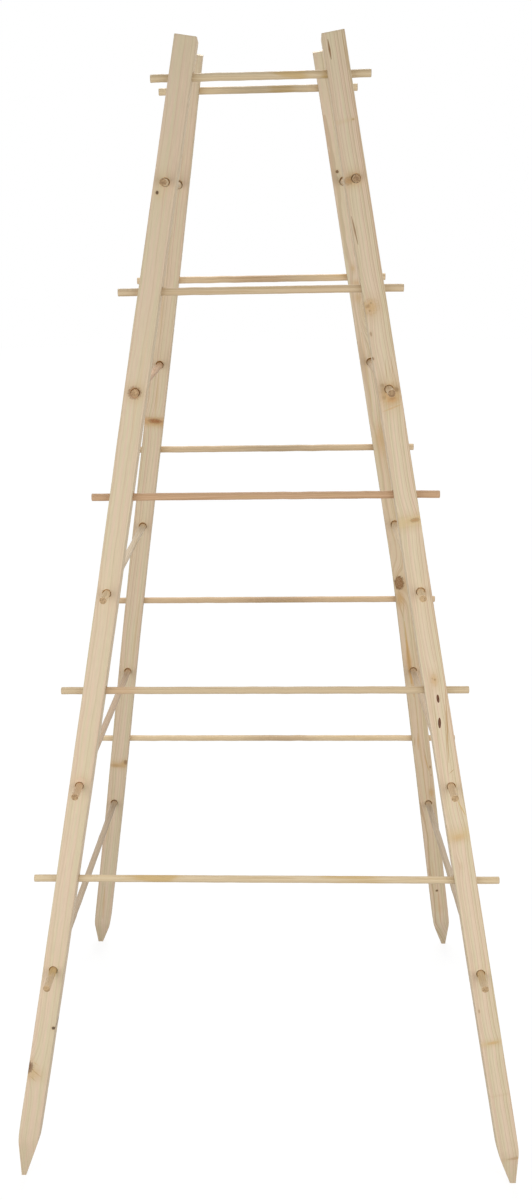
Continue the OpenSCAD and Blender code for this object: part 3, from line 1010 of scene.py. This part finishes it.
def dowel_wood():
    """Straight-grained dowel, with the sawn ends a shade darker."""
    material, tree = blank_material("dowel")
    stick = attribute(tree, "stick", "Vector")
    batch = attribute(tree, "batch")
    place = split(tree, stick)
    # rings round a pith that lies outside the dowel, on another side of each
    turn = figure(tree, "MULTIPLY", batch, PITH_TURN)
    pith_x = figure(tree, "MULTIPLY", figure(tree, "COSINE", turn), DOWEL_PITH)
    pith_y = figure(tree, "MULTIPLY", figure(tree, "SINE", turn), DOWEL_PITH)
    wander = grain_noise(tree, stick, DOWEL_SLOW, batch=batch)
    reach = pith_distance(tree, place, pith_x, pith_y)
    reach = figure(tree, "MULTIPLY_ADD", wander, DOWEL_WANDER, reach)
    reach = figure(tree, "MULTIPLY_ADD", place[2], DOWEL_RUNOUT, reach)
    late = late_wood(tree, figure(tree, "DIVIDE", reach, DOWEL_RING), *DOWEL_SEASON)
    fibre = grain_noise(tree, stick, DOWEL_FIBRES, batch=batch)
    lines = lines_of(tree, late, fibre, DOWEL_LINES)
    plain = tint(tree, lines, DOWEL_PALE, DOWEL_DARK)
    red = tint(tree, lines, DOWEL_RED_PALE, DOWEL_RED_DARK)
    colour = tint(tree, attribute(tree, "redness"), plain, red)
    # here and there a stretch is stained the colour of honey
    stained = grain_noise(tree, stick, DOWEL_STAINS, batch=batch)
    stained = figure(tree, "MULTIPLY_ADD", attribute(tree, "honey"), HONEY_SHARE, stained)
    colour = tint(tree, ramp(tree, stained, *HONEY_EDGES, 0.0, HONEY_COVER), colour, DOWEL_HONEY)
    # the tone includes the painted shade round the back rungs' middles
    colour = scaled(tree, colour, attribute(tree, "tone"))
    # painted shade: the side rungs greyer and darker between their posts
    colour = tint(tree, attribute(tree, "painted_grey_shade"), colour, DOWEL_SHADE_TINT, "MULTIPLY")
    # the sawn ends show their rings, with darker specks
    speck = {"Vector": stick, "W": batch, "Scale": SPECK_SCALE}
    speck = put(tree, "ShaderNodeTexNoise", speck, noise_dimensions="4D").outputs[0]
    speck = ramp(tree, speck, *NOISE_MIDDLE, *SAWN_SPECKS)
    ringed = figure(tree, "MULTIPLY_ADD", late, SAWN_RINGS, speck)
    ringed = held(tree, figure(tree, "ADD", ringed, attribute(tree, "darkened")))
    end = ramp(tree, attribute(tree, "from_end"), *SAWN_EDGES)
    end_rings = tint(tree, ringed, DOWEL_END, DOWEL_END_DARK)
    colour = tint(tree, figure(tree, "MULTIPLY", end, SAWN_COVER), colour, end_rings)
    rough = ramp(tree, fibre, *NOISE_MOST, *DOWEL_ROUGH)
    bare_wood(tree, colour, rough, lines_of(tree, late, fibre, DOWEL_RELIEF), DOWEL_RELIEF_DEPTH)
    return material


tree = dowel_tree()
wood = dowel_wood()
inputs = {item.name: item.identifier for item in tree.interface.items_tree if item.in_out == "INPUT"}
# A dowel's edges between faces that meet at more than this stay crisp
DOWEL_CRISP = math.radians(35)
RUNGS = [(kind, level) for kind in ("front", "back", "left", "right") for level in RUNG_LEVELS]
for batch, (kind, level) in enumerate(RUNGS, 1):
    name = f"{kind}_rung_{level}"
    ends = rung_ends(kind, level)
    if kind in ("front", "back"):
        share = even_height(level) / STAND_HEIGHT
        width = between(FOOT_WIDTH["front"], TOP_WIDTH["front"], share)
        tail = between(*LADDER_TAIL, share)
    else:
        width = (ends[1] - ends[0]).length
        tail = SIDE_TAIL + MORE_TAIL[kind][level - 1] * MM
    rung = bpy.data.objects.new(name + "_dowel", bpy.data.meshes.new(name + "_dowel"))
    bpy.context.scene.collection.objects.link(rung)
    modifier = rung.modifiers.new("dowel", "NODES")
    modifier.node_group = tree
    honey, more_honey = (HONEY_STRETCHES.get(name, []) + [NO_STRETCH] * 2)[:2]
    blush = BLUSH_STRETCHES.get(name, NO_STRETCH)
    sizes = {
        "From": ends[0], "To": ends[1], "Length": width + POST_SIDE + 2 * tail,
        "Slip": RUNG_SLIP[kind][level - 1] * MM, "Diameter": RUNG_DIAMETER,
        "Chamfer": RUNG_CHAMFER, "Crook": RUNG_CROOK, "Seed": float(batch),
        "Redness": RUNG_REDNESS[kind][level - 1], "Tone": RUNG_TONE[kind][level - 1],
        "Middle Painted Shade": MIDDLE_PAINTED_SHADE[kind], "Bare Ends": BARE_ENDS[kind],
        "Painted Grey Shade": SIDE_PAINTED_SHADE[kind][level - 1], "Sawn": SAWN_DARK[kind][level - 1], "Wood": wood,
    }
    stretches = (("Honey", honey), ("More Honey", more_honey), ("Blush", blush))
    for label, (place, reach, strength) in stretches:
        sizes[label] = (place * MM, reach * MM, strength)
    for label, value in sizes.items():
        modifier[inputs[label]] = value
    graph = bpy.context.evaluated_depsgraph_get()
    data = bpy.data.meshes.new_from_object(rung.evaluated_get(graph))
    rung.modifiers.clear()
    rung.data = data
    data.set_sharp_from_angle(angle=DOWEL_CRISP)
    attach(rung, "root")
    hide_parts(name)

# ---------------------------------------------------------------------------
# The studio: a white floor in a white room, lit softly from all round, with a
# broad lamp on either side in front, level with the middle of the stand, and one
# high up behind it.
# ---------------------------------------------------------------------------
FLOOR_REACH, FLOOR_FACETS = 12.0, 96
floor_mesh = bmesh.new()
bmesh.ops.create_circle(floor_mesh, cap_ends=True, segments=FLOOR_FACETS, radius=FLOOR_REACH)
floor = object_of("floor", floor_mesh)


def seen_white(tree):
    """1 for the rays that show the background, and 0 for those that light things."""
    path = put(tree, "ShaderNodeLightPath").outputs
    seen = figure(tree, "ADD", path["Is Camera Ray"], path["Is Glossy Ray"])
    return held(tree, figure(tree, "ADD", seen, path["Is Transmission Ray"]))


# The floor shows white, more so farther out, plus a faint share of the light that
# falls on it, so that the feet leave a faint shadow. It lights things as grey.
WHITE_NEAR, WHITE_FAR = 0.855, 0.92
WHITE_GROWS = (0.3, 3.2)
FAINT_GREY, FLOOR_GREY, WHITE = (0.2, 0.2, 0.2, 1), (0.5, 0.5, 0.5, 1), (1, 1, 1, 1)
paper, tree = blank_material("white_floor")
matt = put(tree, "ShaderNodeBsdfDiffuse", {"Color": FLOOR_GREY}).outputs[0]
faint = put(tree, "ShaderNodeBsdfDiffuse", {"Color": FAINT_GREY}).outputs[0]
spot = put(tree, "ShaderNodeTexCoord").outputs["Object"]
plain = ramp(tree, vector(tree, "LENGTH", spot), *WHITE_GROWS, WHITE_NEAR, WHITE_FAR)
white = put(tree, "ShaderNodeEmission", {"Color": WHITE, "Strength": plain}).outputs[0]
shown = put(tree, "ShaderNodeAddShader", {0: white, 1: faint}).outputs[0]
both = put(tree, "ShaderNodeMixShader", {0: seen_white(tree), 1: matt, 2: shown}).outputs[0]
put(tree, "ShaderNodeOutputMaterial", {"Surface": both})
floor.data.materials.append(paper)

ROOM_LIGHT = 0.44
room = bpy.data.worlds.new("room")
room.use_nodes = True
tree = room.node_tree
tree.nodes.clear()
strength = ramp(tree, seen_white(tree), 0.0, 1.0, ROOM_LIGHT, 1.0)
sky = put(tree, "ShaderNodeBackground", {"Color": WHITE, "Strength": strength}).outputs[0]
put(tree, "ShaderNodeOutputWorld", {"Surface": sky})
bpy.context.scene.world = room

# The square soft lamps: where each hangs and points, its side, and its power in W
LAMPS = {
    "left_lamp": ((-1.0, -1.3, 0.80), (0, -0.1, 0.68), 1.4, 9.7),
    "right_lamp": ((1.0, -1.3, 0.80), (0, -0.1, 0.68), 1.4, 9.7),
    "back_lamp": ((0, 0.9, 2.1), (0, 0, 0.8), 1.0, 15.5),
}
for name, (place, aim, size, power) in LAMPS.items():
    light = bpy.data.lights.new(name, "AREA")
    light.size = size
    light.energy = power
    lamp = bpy.data.objects.new(name, light)
    lamp.location = place
    lamp.rotation_euler = (Vector(aim) - Vector(place)).to_track_quat("-Z", "Y").to_euler()
    lamp.visible_camera = False
    bpy.context.scene.collection.objects.link(lamp)

bpy.context.scene.view_settings.view_transform = "Standard"

# ---------------------------------------------------------------------------
# The camera: it stands 1.9 m in front and a little to the right of the middle,
# 0.2 m below the height of the post tops, and is tipped down towards the stand.
# ---------------------------------------------------------------------------
CAMERA_PLACE = Vector((0.0321256, -1.9208136, 1.2669106))
CAMERA_PITCH, CAMERA_YAW, CAMERA_ROLL = 0.30127, -0.05457, 0.0202
# How long the lens is and how far the picture's middle lies from its axis, in
# pixels of a picture of this height
FOCAL_PIXELS, PICTURE_HEIGHT = 1391.945, 1200
CENTRE_RIGHT, CENTRE_UP = 50.374, 40.726
SENSOR = 36

look = Vector((
    math.cos(CAMERA_PITCH) * math.sin(CAMERA_YAW),
    math.cos(CAMERA_PITCH) * math.cos(CAMERA_YAW), -math.sin(CAMERA_PITCH),
))
level_right = Vector((math.cos(CAMERA_YAW), -math.sin(CAMERA_YAW), 0))
level_up = level_right.cross(look)
right = math.cos(CAMERA_ROLL) * level_right - math.sin(CAMERA_ROLL) * level_up
up = math.sin(CAMERA_ROLL) * level_right + math.cos(CAMERA_ROLL) * level_up
lens = bpy.data.cameras.new("camera")
lens.sensor_width = SENSOR
lens.lens = SENSOR * FOCAL_PIXELS / PICTURE_HEIGHT
lens.shift_x, lens.shift_y = CENTRE_RIGHT / PICTURE_HEIGHT, CENTRE_UP / PICTURE_HEIGHT
camera = bpy.data.objects.new("camera", lens)
turn = Matrix((right, up, -look)).transposed().to_4x4()
camera.matrix_world = Matrix.Translation(CAMERA_PLACE) @ turn
bpy.context.scene.collection.objects.link(camera)
bpy.context.scene.camera = camera
